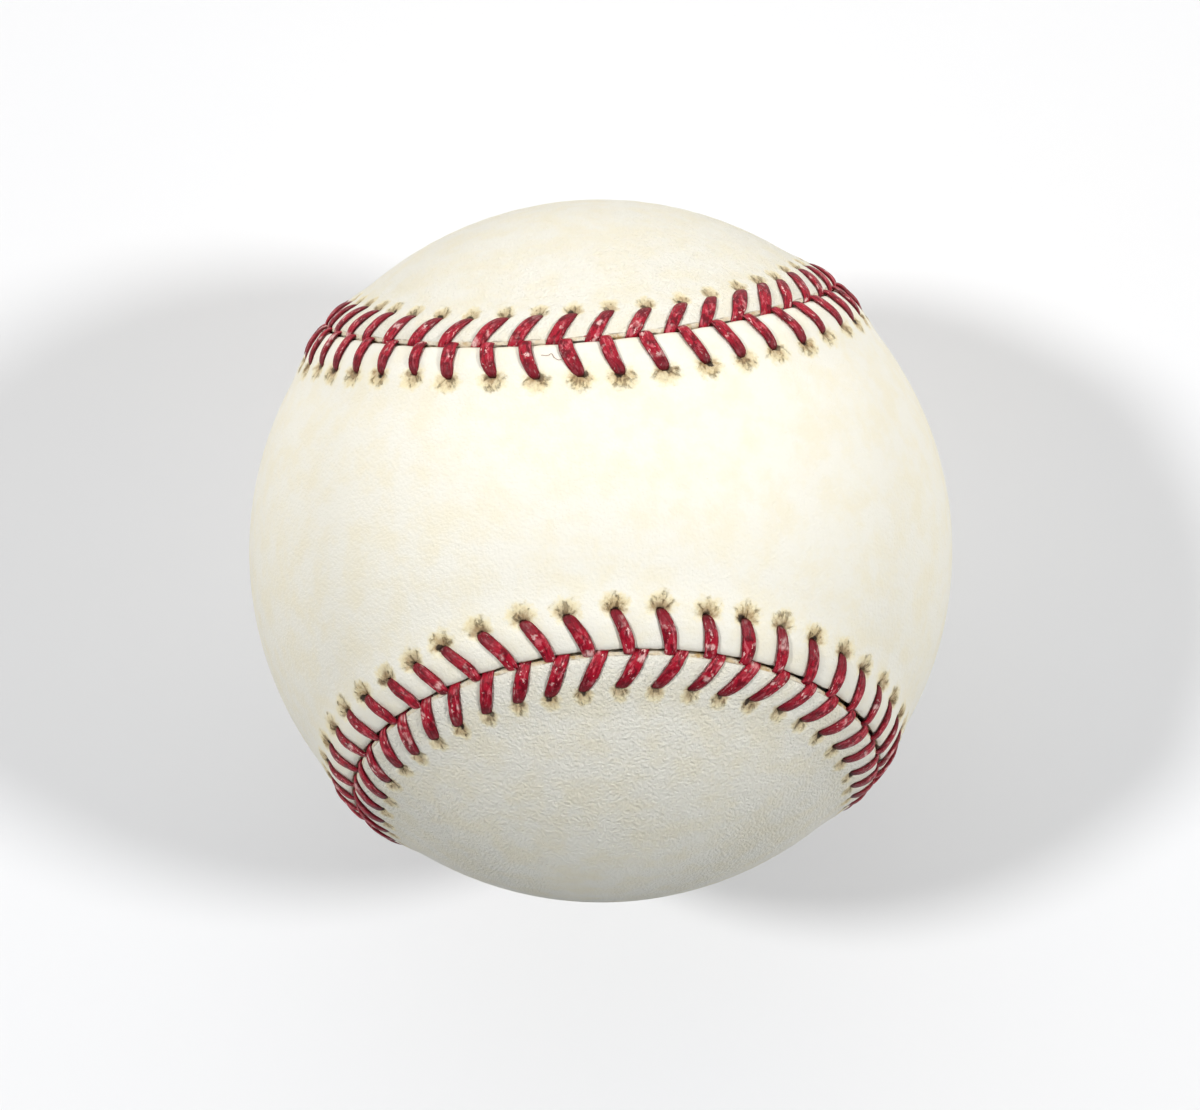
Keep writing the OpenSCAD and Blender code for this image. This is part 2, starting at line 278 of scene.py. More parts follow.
def column_places(q, side):
    """For one row: place along the seam, reach, and how far the pillow has swollen."""
    f = column_share[column_step].copy()
    if abs(abs(q - hole_reach) - hole_half_q) < 0.01:
        f[column_step == 1] = 0.075
        f[column_step == per_stitch - 1] = 0.925
    q_here, q_next = (hole_q[side][(column_stitch + n) % stitch_count] for n in (0, 1))
    drawn = (q_here * (1 - f) + q_next * f - hole_reach) * math.exp(-((q - hole_reach) / 1.2) ** 2)
    reach = q + drawn
    here = leg_at(column_stitch, reach, side)
    there = leg_at(column_stitch + 1, reach, side)
    gap = there - here
    near = np.minimum(f, 1 - f) * gap
    half = 0.82 * leg_half(q)
    swell = 1 - (1 - np.clip((near - half) / (gap / 2 - half), 0, 1)) ** 2.9
    reach = reach + (0.14 * (1 - swell) + gap_wander(here, side)) * math.exp(-q / 0.45)
    far = (columns - column_shift + 0.5) * pitch / per_stitch
    away = float(smooth(4.6, 8.6, q))
    return (here + f * gap) * (1 - away) + far * away, reach, swell


print(column_count, "columns and", len(strip_rows) + len(middle_shares), "rows on the outside")

# %% [markdown]
# Where the thread is pulled tight through its hole, the leather beyond the hole puckers into a
# little fan of creases. They are a slow ripple in the angle round the hole, which dies away after
# two millimetres.

# %% Puckers round the holes
pucker_h = 0.045
pucker_waves = 6


def pucker(s, reach, side):
    i = column_stitch + (column_step > per_stitch // 2)
    dx = s - leg_at(i, hole_reach + 1.0, side)
    dy = reach - hole_q[side][np.mod(i, stitch_count)]
    far = np.hypot(dx, dy)
    angle = np.arctan2(dx, dy)
    ripple = np.cos(pucker_waves * angle + 2.1 * np.mod(i, 7))
    return pucker_h * ripple * np.exp(-((far - 1.15) / 0.6) ** 2) * smooth(-0.3, 0.4, dy)


# %% [markdown]
# Both halves of a panel have to share the points of its middle line, so that the mesh closes.
# That line is an arc of a great circle, through the waist from the middle of one lobe to the
# middle of the other. A column aims at the point of the arc abreast of it, and those at the round
# end of a lobe all aim at the lobe's middle.

# %% The middle line of a panel
lobe_angle = math.pi / 2
leather_t = 1.2
tuck_h = 0.5


def middle_line(side):
    k = np.mod(columns - column_shift - (0 if side == 1 else column_count // 4), column_count)
    k = np.minimum(k, column_count - 1 - k)
    d = seam_dir(seam_u((k + 0.5) * pitch / per_stitch))
    a = np.clip(np.arctan2(d[:, 0], d[:, 2]), -lobe_angle, lobe_angle)
    zero = np.zeros_like(a)
    parts = (np.sin(a), zero, np.cos(a)) if side == 1 else (zero, np.sin(a), -np.cos(a))
    return np.stack(parts, axis=-1)


def towards(start, end, share):
    """Part of the way from one direction to another, round the ball."""
    w = np.arccos(np.clip((start * end).sum(axis=1), -1, 1))[:, None]
    return (start * np.sin((1 - share) * w) + end * np.sin(share * w)) / np.sin(w)


# %% [markdown]
# Now the leather itself. Each row is an extrusion of the one before it, and its points are then
# moved to their places. The flesh side is made from the same edge in the same way, a leather's
# thickness further in, and tucked up a little under the welt, where the threads run. To pierce
# the leather, the point in the middle of each hole is deleted from both skins, and the two open
# rings are bridged.

# %% Build a leather panel
def ring_of(bm, edges, order):
    """Extrudes a ring of edges and gives the new points, in the order of their columns."""
    new = bmesh.ops.extrude_edge_only(bm, edges=edges)["geom"]
    points = [g for g in new if isinstance(g, bmesh.types.BMVert)]
    points.sort(key=lambda v: v[order])
    fresh = set(points)
    ring = [g for g in new if isinstance(g, bmesh.types.BMEdge) and set(g.verts) <= fresh]
    return points, ring


def leather_panel(side):
    bm = bmesh.new()
    order = bm.verts.layers.int.new("order")
    row_layer = bm.verts.layers.int.new("row")
    raw = bm.verts.layers.float.new("raw")
    reach_layer = bm.verts.layers.float.new("reach")
    start = bmesh.ops.create_circle(bm, segments=column_count, radius=1)["verts"]
    start.sort(key=lambda v: math.atan2(v.co.y, v.co.x) % (2 * math.pi))
    for k, v in enumerate(start):
        v[order] = k
    start_edges = list(bm.edges)
    seam_places = []
    line = middle_line(side)
    holes = {0: [], 1: []}

    def lay(points, at, rawness, s, reach):
        for v, co, w in zip(points, at, reach):
            v.co = co
            v[row_layer] = len(seam_places)
            v[raw] = rawness
            v[reach_layer] = w
        seam_places.append((s, reach))

    def skin(rows, shares, inside):
        edges = start_edges
        for n, q in enumerate(rows):
            s, reach, swell = column_places(q, side)
            if inside:
                r = ball_r - leather_t + tuck_h * smooth(8.6, 4.2, reach)
            else:
                low, high = groove(reach, side), welt(reach, side)
                r = ball_r + low + (high - low) * swell + pucker(s, reach, side)
            points = start
            if n or inside:
                points, edges = ring_of(bm, edges, order)
            lay(points, place(s, side * reach, r), float(inside), s, reach)
            if q == hole_reach:
                holes[inside] = points[::per_stitch]
        foot = unit(place(s, side * reach, ball_r))
        rest = ball_r - (leather_t if inside else 0)
        for share in shares:
            points, edges = ring_of(bm, edges, order)
            at = MM * rest * (line if share == 1 else towards(foot, line, share))
            lay(points, at, float(inside), s, reach + 20 * share)

    skin(strip_rows, middle_shares, 0)
    skin(inner_rows, inner_middle_shares, 1)
    rims = []
    for outer, inner in zip(holes[0], holes[1]):
        rims.append([e for v in (outer, inner) for f in v.link_faces for e in f.edges
                     if v not in e.verts])
    bmesh.ops.delete(bm, geom=holes[0] + holes[1], context="VERTS")
    for rim in rims:
        bmesh.ops.bridge_loops(bm, edges=rim)
    bmesh.ops.remove_doubles(bm, verts=bm.verts[:], dist=2e-6)
    bmesh.ops.recalc_face_normals(bm, faces=bm.faces[:])
    open_edges = sum(not e.is_manifold for e in bm.edges)
    mesh = bpy.data.meshes.new(f"leather_panel_{SIDES[side]}")
    bm.to_mesh(mesh)
    bm.free()
    mesh.shade_smooth()
    print(mesh.name, len(mesh.polygons), "faces,", open_edges, "open edges")
    return mesh, seam_places


# %% [markdown]
# The finish of the leather changes round each hole, so the mesh carries a map that says where a
# point lies from the nearest hole: across is along the seam and up is away from it, both in mm.
# Each face belongs to one hole, and the map jumps from one hole to the next between two faces. A
# number from 0 to 1 goes with each hole, so that no two holes are stained alike.

# %% A map round the holes
stain_hand = np.random.default_rng(5)
hole_chance = {side: stain_hand.uniform(0, 1, stitch_count) for side in SIDES}


def map_holes(mesh, seam_places, side):
    corners = len(mesh.loops)
    vert = np.empty(corners, np.int32)
    mesh.loops.foreach_get("vertex_index", vert)
    order = np.empty(len(mesh.vertices), np.int32)
    row = np.empty(len(mesh.vertices), np.int32)
    mesh.attributes["order"].data.foreach_get("value", order)
    mesh.attributes["row"].data.foreach_get("value", row)
    s = np.array([r[0] for r in seam_places])[row[vert], order[vert]]
    q = np.array([r[1] for r in seam_places])[row[vert], order[vert]]
    sizes = np.array([p.loop_total for p in mesh.polygons])
    starts = np.concatenate([[0], np.cumsum(sizes)[:-1]])
    column = order[vert].astype(float)
    low = np.repeat(np.minimum.reduceat(column, starts), sizes)
    column = np.where(column - low > column_count / 2, column - column_count, column)
    middle = np.repeat(np.add.reduceat(column, starts) / sizes, sizes)
    i = np.round(middle / per_stitch).astype(int)
    hole_s = leg_at(i, hole_reach + 1.0, side)
    u = np.mod(s - hole_s + seam_length / 2, seam_length) - seam_length / 2
    v = q - hole_q[side][np.mod(i, stitch_count)]
    layer = mesh.uv_layers.new(name="hole_map")
    layer.data.foreach_set("uv", np.stack([u, v], axis=-1).astype(np.float32).ravel())
    chance = mesh.attributes.new("chance", "FLOAT", "CORNER")
    own = hole_chance[side][np.mod(i, stitch_count)]
    chance.data.foreach_set("value", own.astype(np.float32))
    for name in ("order", "row"):
        mesh.attributes.remove(mesh.attributes[name])
    print("map reaches", round(float(np.abs(u).max()), 2), "mm to the sides of a hole")


panels = {}
for side, name in SIDES.items():
    mesh, seam_places = leather_panel(side)
    map_holes(mesh, seam_places, side)
    panels[side] = bpy.data.objects.new(f"leather_panel_{name}", mesh)
    bpy.context.scene.collection.objects.link(panels[side])

# %% [markdown]
# The lacing is two waxed cotton threads, pressed flat where they cross the leather and rounder
# where they pass through it. A curve with a bevel can't change its section from round to flat, so
# each thread is one ring of eight points, extruded along its route ring by ring. A Subdivision
# Surface rounds it afterwards, and the rings stay few.
#
# The leg on the upper panel crosses last: it lies over the seam and laps the start of the other
# leg, while the lower panel's leg comes straight out of the gap between the leathers.

# %% Sizes and route of a thread
thread_t = 0.5
thread_w = 1.5
neck_w = 0.62
under_r = 35.65 + 0.12 + thread_t / 2
sections = 8

# For each ring over the leather: reach in mm, share of the full width, share of the thickness
# and how much the thread is lifted over the leather, or pressed into the gap
LEG_RINGS = {
    1: [(3.74, 0.74, 0.6, 0), (3.4, 0.9, 0.85, 0), (2.5, 0.98, 1, 0), (1.65, 1.02, 1, 0),
        (0.95, 1.02, 0.95, 0), (0.35, 0.98, 0.9, 0.14), (-0.3, 0.86, 0.8, 0.06)],
    -1: [(3.74, 0.76, 0.6, 0), (3.4, 0.9, 0.85, 0), (2.5, 1.0, 1, 0), (1.65, 1.03, 1, 0),
         (0.95, 1.02, 0.95, 0), (0.42, 1.04, 0.85, 0), (0.06, 1.06, 0.75, -0.08)],
}

# The ring where a leg dives: place on the far side of the seam, share of the width, depth. The
# lower leg is drawn out a little along the seam there.
DIVE = {1: (0.46, 0.62, 0.0), -1: (0.1, 1.1, 0.3)}
tail = 0.3


def thread_route(first_side):
    """Rings of a thread: s, q, r, width, thickness and how dirty it is there."""
    rings = []
    for i in range(stitch_count):
        side = first_side if i % 2 == 0 else -first_side
        hole = hole_q[side][i]
        hole_s = float(leg_at(i, hole, side))
        wide = thread_w * leg_wide[side][i]
        rings.append((hole_s, side * hole, under_r, neck_w, thread_t, 1.0))
        out_r = ball_r + float(groove(hole_reach, side))
        rings.append((hole_s, side * (hole + 0.03), out_r - 0.15, neck_w, 0.46, 1.0))
        for reach, w, t, lift in LEG_RINGS[side]:
            q = reach * (hole / hole_reach if reach > neck_reach else 1)
            h = float(groove(max(reach, 0.1), side))
            r = ball_r + h + thread_t * t / 2 + lift
            s = float(leg_at(i, max(q, 0), side))
            if side == -1:
                s += tail * float(smooth(0.7, 0, reach))
            dirt = 0.3 * float(smooth(1.6, 3.2, reach)) + 0.5 * float(smooth(3.45, 3.9, reach))
            w = w * (1 - leg_pinch[side][i] * float(smooth(1.8, 0.2, reach)))
            rings.append((s, side * q, r, wide * w * hand.uniform(0.93, 1.06), thread_t * t, dirt))
        past, dive_w, deep = DIVE[side]
        end_s = float(leg_at(i, 0, side))
        dive_s = end_s + (tail * 1.3 if side == -1 else 0)
        rings.append((dive_s, -side * past, ball_r - deep, wide * dive_w, 0.4, 0.3))
        rings.append((end_s, 0, under_r, neck_w, thread_t, 0.6))
    last_s, last_q, last_r = rings[-1][:3]
    goal_s = float(leg_at(stitch_count, hole_reach, first_side))
    goal_q = first_side * hole_reach
    rings.append(((last_s + goal_s) / 2, (last_q + goal_q) / 2, last_r, neck_w, thread_t, 0.6))
    return np.array(rings)


# %% [markdown]
# The section of each ring is turned square to the route, with its width kept along the seam, so
# the thread never twists: it lies flat on the leather, stands on edge in the hole and lies flat
# again underneath. Close to the seam the rings lie along it instead, because the edge of the
# leather cuts a leg off there.

# %% Build a thread
def lacing_thread(first_side, name):
    route = thread_route(first_side)
    middle = place(route[:, 0], route[:, 1], route[:, 2])
    ahead = np.vstack([middle[1:], 2 * middle[-1] - middle[-2]])
    behind = np.vstack([2 * middle[0] - middle[1], middle[:-1]])
    tangent = unit(unit(ahead - middle) + unit(middle - behind))
    up, along, left = seam_frame(route[:, 0])
    square = smooth(0.2, 0.9, np.abs(route[:, 1]))
    across = unit(along - (square * (along * tangent).sum(axis=1))[:, None] * tangent)
    over = unit(np.cross(tangent, across))
    run = np.concatenate([[0], np.cumsum(np.linalg.norm(np.diff(middle, axis=0), axis=1))]) / MM
    angle = 2 * math.pi * np.arange(sections) / sections
    flat_x = np.sign(np.cos(angle)) * np.abs(np.cos(angle)) ** 0.75
    flat_y = np.sign(np.sin(angle)) * np.abs(np.sin(angle)) ** 0.85

    bm = bmesh.new()
    order = bm.verts.layers.int.new("order")
    ring_layer = bm.verts.layers.int.new("ring")
    dirt = bm.verts.layers.float.new("dirt")
    points = bmesh.ops.create_circle(bm, segments=sections, radius=1, cap_ends=True)["verts"]
    points.sort(key=lambda v: math.atan2(v.co.y, v.co.x) % (2 * math.pi))
    for k, v in enumerate(points):
        v[order] = k
    edges = list(bm.edges)
    for n, (s, q, r, wide, thick, grime) in enumerate(route):
        if n:
            points, edges = ring_of(bm, edges, order)
        uneven = hand.uniform(0.88, 1.1, sections)
        for k, v in enumerate(points):
            x = across[n] * flat_x[k] * wide / 2
            y = over[n] * flat_y[k] * thick / 2
            v.co = middle[n] + MM * (x + y) * uneven[k]
            v[ring_layer] = n
            v[dirt] = grime
    bmesh.ops.holes_fill(bm, edges=edges, sides=sections)
    bmesh.ops.recalc_face_normals(bm, faces=bm.faces[:])
    uv = bm.loops.layers.uv.new("thread_map")
    for face in bm.faces:
        wraps = {v[order] for v in face.verts} == {0, sections - 1}
        for corner in face.loops:
            k = corner.vert[order]
            round_share = 1.0 if wraps and k == 0 else k / sections
            corner[uv].uv = (run[corner.vert[ring_layer]], round_share)
    bm.verts.layers.int.remove(bm.verts.layers.int["order"])
    bm.verts.layers.int.remove(bm.verts.layers.int["ring"])
    mesh = bpy.data.meshes.new(name)
    bm.to_mesh(mesh)
    bm.free()
    mesh.shade_smooth()
    thread = bpy.data.objects.new(name, mesh)
    bpy.context.scene.collection.objects.link(thread)
    rounding = thread.modifiers.new("rounding", "SUBSURF")
    rounding.levels = rounding.render_levels = 1
    print(name, round(float(run[-1]), 0), "mm long,", len(mesh.polygons), "faces")
    return thread


threads = {
    "a": lacing_thread(1, "waxed_thread_a"),
    "b": lacing_thread(-1, "waxed_thread_b"),
}

# %% [markdown]
# Finishes are built from nodes. A few helpers keep them readable: one adds a node and joins or
# sets its sockets, and the others are the sums, ramps and mixes that every finish needs. Patterns
# read Object coordinates, scaled here to millimetres.

# %% Helpers for materials
def new_finish(name):
    material = bpy.data.materials.new(name)
    material.use_nodes = True
    tree = material.node_tree
    return material, tree, tree.nodes["Principled BSDF"]


def put(tree, kind, inputs=None, **settings):
    node = tree.nodes.new(kind)
    for key, value in settings.items():
        setattr(node, key, value)
    for key, value in (inputs or {}).items():
        if isinstance(value, bpy.types.NodeSocket):
            tree.links.new(value, node.inputs[key])
        else:
            node.inputs[key].default_value = value
    return node


def calc(tree, how, a, b=0.0, c=0.0):
    return put(tree, "ShaderNodeMath", {0: a, 1: b, 2: c}, operation=how).outputs[0]


def fade(tree, value, start, end, low=0.0, high=1.0):
    """Smooth change from low to high while the value goes from start to end."""
    sockets = {"Value": value, "From Min": start, "From Max": end, "To Min": low, "To Max": high}
    node = put(tree, "ShaderNodeMapRange", sockets, interpolation_type="SMOOTHSTEP")
    return node.outputs[0]


def blend(tree, share, a, b, how="MIX"):
    node = put(tree, "ShaderNodeMix", data_type="RGBA", blend_type=how)
    for key, value in ((0, share), (6, a), (7, b)):
        if isinstance(value, bpy.types.NodeSocket):
            tree.links.new(value, node.inputs[key])
        else:
            node.inputs[key].default_value = value
    return node.outputs[2]


def millimetres(tree, rotation=(0, 0, 0), stretch=(1, 1, 1)):
    place_node = put(tree, "ShaderNodeTexCoord").outputs["Object"]
    size = tuple(v / MM for v in stretch)
    sockets = {"Vector": place_node, "Rotation": rotation, "Scale": size}
    return put(tree, "ShaderNodeMapping", sockets).outputs[0]


def noise(tree, at, scale, detail=2.0, rough=0.5, warp=0.0):
    sockets = {"Vector": at, "Scale": scale, "Detail": detail, "Roughness": rough,
               "Distortion": warp}
    return put(tree, "ShaderNodeTexNoise", sockets).outputs["Fac"]


def pebbles(tree, at, scale, feature="SMOOTH_F1"):
    sockets = {"Vector": at, "Scale": scale}
    return put(tree, "ShaderNodeTexVoronoi", sockets, feature=feature).outputs["Distance"]


def raise_by(tree, height, mm, strength=1.0, below=None):
    sockets = {"Height": height, "Distance": mm * MM, "Strength": strength}
    if below is not None:
        sockets["Normal"] = below
    return put(tree, "ShaderNodeBump", sockets).outputs[0]


# %% [markdown]
# The cover is white alum-tanned cowhide: ivory, matt, with a pebble grain about half a millimetre
# wide. The grain is a bump of rounded cells with finer noise on top, and the colour drifts a little
# between warmer and cooler ivory. The thread carries wax and dirt into each hole, which leaves a
# tan fan beyond it, with creases that run out from the hole, darkened by painted shade. Painted
# shade also darkens each hole and the slit of the seam. The cut edge in the seam is raw tan hide.

# %% Leather finish
ivory = (0.91, 0.88, 0.78, 1)
warm_ivory = (0.905, 0.85, 0.69, 1)
cream_halo = (0.90, 0.78, 0.46, 1)
pale_tan = (0.68, 0.52, 0.26, 1)
tan_stain = (0.42, 0.28, 0.12, 1)
warm_brown = (0.29, 0.13, 0.035, 1)
crease_shade_and_dark_line = (0.13, 0.08, 0.04, 1)
painted_shade_black = (0.03, 0.016, 0.010, 1)
golden_hide = (0.55, 0.34, 0.10, 1)
pale_hide = (0.80, 0.67, 0.47, 1)


def length(tree, x, y):
    squares = calc(tree, "ADD", calc(tree, "MULTIPLY", x, x), calc(tree, "MULTIPLY", y, y))
    return calc(tree, "SQRT", squares)


def times(tree, *values):
    product = values[0]
    for value in values[1:]:
        product = calc(tree, "MULTIPLY", product, value)
    return product


def leather_finish(name, fan_size, fan_strength, lip_mm, grain_mm):
    """Ivory leather: tan fans of one size and strength, a raw lip this wide, grain this high."""
    material, tree, shader = new_finish(name)
    at = millimetres(tree)
    hole_uv = put(tree, "ShaderNodeUVMap", uv_map="hole_map").outputs[0]
    split = put(tree, "ShaderNodeSeparateXYZ", {0: hole_uv})
    hole_u, hole_v = split.outputs[0], split.outputs[1]
    reach_mm = put(tree, "ShaderNodeAttribute", attribute_name="reach").outputs["Fac"]
    rawness = put(tree, "ShaderNodeAttribute", attribute_name="raw").outputs["Fac"]
    ragged = noise(tree, at, 1.5, 4, 0.65)
    fine = noise(tree, at, 3.4, 3, 0.6)
    slow = noise(tree, at, 0.3, 1, 0.5)
    sway = calc(tree, "MULTIPLY_ADD", ragged, 1.5, -0.75)

    # Fine creases run out from the hole: noise over the angle round it, drawn out with distance
    chance = put(tree, "ShaderNodeAttribute", attribute_name="chance").outputs["Fac"]
    other_chance = calc(tree, "FRACT", calc(tree, "MULTIPLY", chance, 7.3))
    angle = calc(tree, "ARCTAN2", hole_u, calc(tree, "ADD", hole_v, 0.35))
    hole_far = length(tree, hole_u, hole_v)
    ray_at = put(tree, "ShaderNodeCombineXYZ", {
        0: calc(tree, "MULTIPLY", angle, 2.8), 1: calc(tree, "MULTIPLY", hole_far, 0.9),
        2: calc(tree, "MULTIPLY", chance, 50.0)}).outputs[0]
    rays = noise(tree, ray_at, 1.0, 5, 0.65, 0.4)
    wander = noise(tree, at, 0.8, 2, 0.5)

    # The fan: a brown heart by the hole, greyer tan beyond it and a soft cream halo round both
    fan_u = calc(tree, "DIVIDE", hole_u, fan_size)
    fan_v = calc(tree, "DIVIDE", calc(tree, "SUBTRACT", hole_v, 0.55 * fan_size), fan_size * 0.95)
    fan_far = calc(tree, "ADD", sway, length(tree, fan_u, fan_v))
    halo = fade(tree, fan_far, 1.5, 0.8, 0.0, 0.7)
    stain = times(tree, fade(tree, fan_far, 1.1, 0.5), fade(tree, rays, 0.36, 0.56, 0.3, 1.0),
                  fade(tree, other_chance, 0.0, 1.0, 0.6, 1.0), fan_strength)
    heart_far = calc(tree, "MULTIPLY_ADD", sway, 0.9, hole_far)
    heart = times(tree, fade(tree, heart_far, 1.25, 0.55), fade(tree, hole_v, -0.2, 0.1),
                  fade(tree, wander, 0.34, 0.56, 0.35, 1.0), fan_strength)
    crease = times(tree, fade(tree, rays, 0.53, 0.62), fade(tree, fan_far, 1.3, 0.75),
                   fade(tree, hole_v, -0.1, 0.3))

    # Painted shade of the hole: a dark spot on one side of the thread, now left and now right
    spot_u = calc(tree, "DIVIDE", calc(tree, "ADD", hole_u, calc(
        tree, "MULTIPLY_ADD", chance, 1.0, -0.5)), 0.32)
    spot_v = calc(tree, "DIVIDE", calc(tree, "SUBTRACT", hole_v, 0.15), 0.42)
    spot_far = calc(tree, "MULTIPLY_ADD", sway, 1.6, length(tree, spot_u, spot_v))
    core = times(tree, fade(tree, spot_far, 1.25, 0.7), fade(tree, other_chance, 0.1, 0.7, 0.35, 1.0))

    mottle = fade(tree, noise(tree, at, 0.3, 4, 0.6), 0.35, 0.7)
    color = blend(tree, mottle, ivory, warm_ivory)
    dots = put(tree, "ShaderNodeTexVoronoi", {"Vector": at, "Scale": 0.2})
    chosen = put(tree, "ShaderNodeSeparateColor", {0: dots.outputs["Color"]}).outputs[0]
    dot = times(tree, fade(tree, dots.outputs["Distance"], 0.028, 0.014), fade(
        tree, chosen, 0.62, 0.7), 0.6)
    color = blend(tree, dot, color, tan_stain)
    color = blend(tree, halo, color, cream_halo)
    tans = blend(tree, fade(tree, fine, 0.4, 0.62), pale_tan, tan_stain)
    color = blend(tree, stain, color, tans)
    color = blend(tree, times(tree, heart, 0.7), color, warm_brown)
    # Painted shade darkens the creases
    color = blend(tree, times(tree, crease, 0.5), color, crease_shade_and_dark_line)
    color = blend(tree, times(tree, core, 0.95), color, painted_shade_black)

    # The cut edge is raw hide, with a thin dark line where the grain side ends
    hide = blend(tree, fade(tree, noise(tree, at, 0.35, 2), 0.5, 0.6), pale_hide, golden_hide)
    lip = times(tree, fade(tree, reach_mm, lip_mm + 0.12, lip_mm - 0.06), fade(
        tree, ragged, 0.35, 0.6, 0.3, 0.9))
    color = blend(tree, lip, color, hide)
    worn = calc(tree, "ABSOLUTE", calc(tree, "SUBTRACT", calc(
        tree, "MULTIPLY_ADD", sway, 0.12, reach_mm), lip_mm + 0.03))
    edge_line = times(tree, fade(tree, worn, 0.07, 0.03), fade(tree, wander, 0.44, 0.6), 0.45)
    color = blend(tree, edge_line, color, crease_shade_and_dark_line)
    # Painted shade darkens the narrow slit along the seam
    slit_painted_shade = times(tree, fade(tree, reach_mm, 0.17, 0.1), fade(
        tree, noise(tree, at, 0.6, 2), 0.4, 0.6, 0.1, 0.95))
    color = blend(tree, slit_painted_shade, color, painted_shade_black)
    color = blend(tree, rawness, color, hide)
    tree.links.new(color, shader.inputs["Base Color"])

    grain = calc(tree, "ADD", pebbles(tree, at, 3.3), times(
        tree, noise(tree, at, 7.5, 2, 0.6), 0.9))
    bump = raise_by(tree, grain, grain_mm)
    bump = raise_by(tree, calc(tree, "MULTIPLY", crease, -1.0), 0.1, 1.0, bump)
    tree.links.new(bump, shader.inputs["Normal"])
    shader.inputs["Roughness"].default_value = 0.52
    shader.inputs["Specular IOR Level"].default_value = 0.32
    return material


leathers = {
    1: leather_finish("ivory_leather_upper", 1.12, 0.85, 0.14, 0.05),
    -1: leather_finish("ivory_leather_lower", 0.92, 0.62, 0.42, 0.15),
}

# %% [markdown]
# The thread is crimson cotton soaked in wax. Fine strands run along it, pink streaks of painted
# highlight follow them, the wax shows in pale flecks, painted shade darkens its edges, and it is
# darker near the holes. The map on the thread runs along and round it, so a noise that is stretched
# along the map gives the strands.

# %% Thread finish
crimson = (0.43, 0.007, 0.026, 1)
deep_crimson = (0.13, 0.001, 0.008, 1)
painted_highlight_pink = (0.66, 0.13, 0.16, 1)
pale_wax = (0.90, 0.60, 0.56, 1)
grime = (0.045, 0.022, 0.014, 1)

waxed, tree, shader = new_finish("waxed_crimson_thread")
at = millimetres(tree)
thread_uv = put(tree, "ShaderNodeUVMap", uv_map="thread_map").outputs[0]
split = put(tree, "ShaderNodeSeparateXYZ", {0: thread_uv})
run_mm, round_share = split.outputs[0], split.outputs[1]


def along_thread(run_scale, round_scale, detail):
    """Noise drawn out along the thread."""
    run_at = calc(tree, "MULTIPLY", run_mm, run_scale)
    round_at = calc(tree, "MULTIPLY", round_share, round_scale)
    where = put(tree, "ShaderNodeCombineXYZ", {0: run_at, 1: round_at, 2: round_scale}).outputs[0]
    return noise(tree, where, 1.0, detail, 0.6)


strands = along_thread(0.8, 15.0, 4)
highlight_streaks = along_thread(1.0, 9.0, 5)
flecks = along_thread(1.5, 9.0, 3)
blotch = noise(tree, at, 1.0, 4, 0.65)
lumps = noise(tree, at, 0.65, 2, 0.5)
waxy = noise(tree, at, 0.4, 1, 0.5)
# Painted shade along both edges of the thread, where it meets the leather
painted_edge_shade = fade(tree, calc(tree, "ABSOLUTE", calc(
    tree, "SINE", calc(tree, "MULTIPLY", round_share, 2 * math.pi))), 0.62, 0.1, 0.0, 0.9)
dirty = put(tree, "ShaderNodeAttribute", attribute_name="dirt").outputs["Fac"]

color = blend(tree, fade(tree, strands, 0.32, 0.54), deep_crimson, crimson)
color = blend(tree, fade(tree, blotch, 0.49, 0.61, 0.0, 0.88), color, deep_crimson)
# Pink streaks along the thread: a painted highlight
color = blend(tree, fade(tree, highlight_streaks, 0.525, 0.64, 0.0, 0.85), color, painted_highlight_pink)
color = blend(tree, times(tree, fade(tree, flecks, 0.59, 0.64), fade(
    tree, waxy, 0.44, 0.58, 0.1, 0.9)), color, pale_wax)
# Pale wax lumps, shown mostly along the painted highlight streaks, so they are both wax and painted
# highlight
color = blend(tree, times(tree, fade(tree, lumps, 0.6, 0.71, 0.0, 0.8), fade(
    tree, highlight_streaks, 0.42, 0.56, 0.15, 1.0)), color, pale_wax)
color = blend(tree, painted_edge_shade, color, deep_crimson)
color = blend(tree, fade(tree, dirty, 0.0, 0.35, 0.0, 0.7), color, deep_crimson)
color = blend(tree, times(tree, fade(tree, dirty, 0.4, 1.0), fade(tree, blotch, 0.3, 0.6, 0.5, 1.0)),
              color, grime)
tree.links.new(color, shader.inputs["Base Color"])
bump = raise_by(tree, strands, 0.12)
bump = raise_by(tree, blotch, 0.12, 1.0, bump)
tree.links.new(bump, shader.inputs["Normal"])
shader.inputs["Roughness"].default_value = 0.38
shader.inputs["Specular IOR Level"].default_value = 0.24

# %% [markdown]
# A used ball sheds a little. Two loose fibres have worked out of the threads and lie on the welt,
# a fine brown hair and a short red one. Each is a thin bevelled curve through a few places that are
# counted from the seam like all else, and its finish is a cloudy mix of two tones.

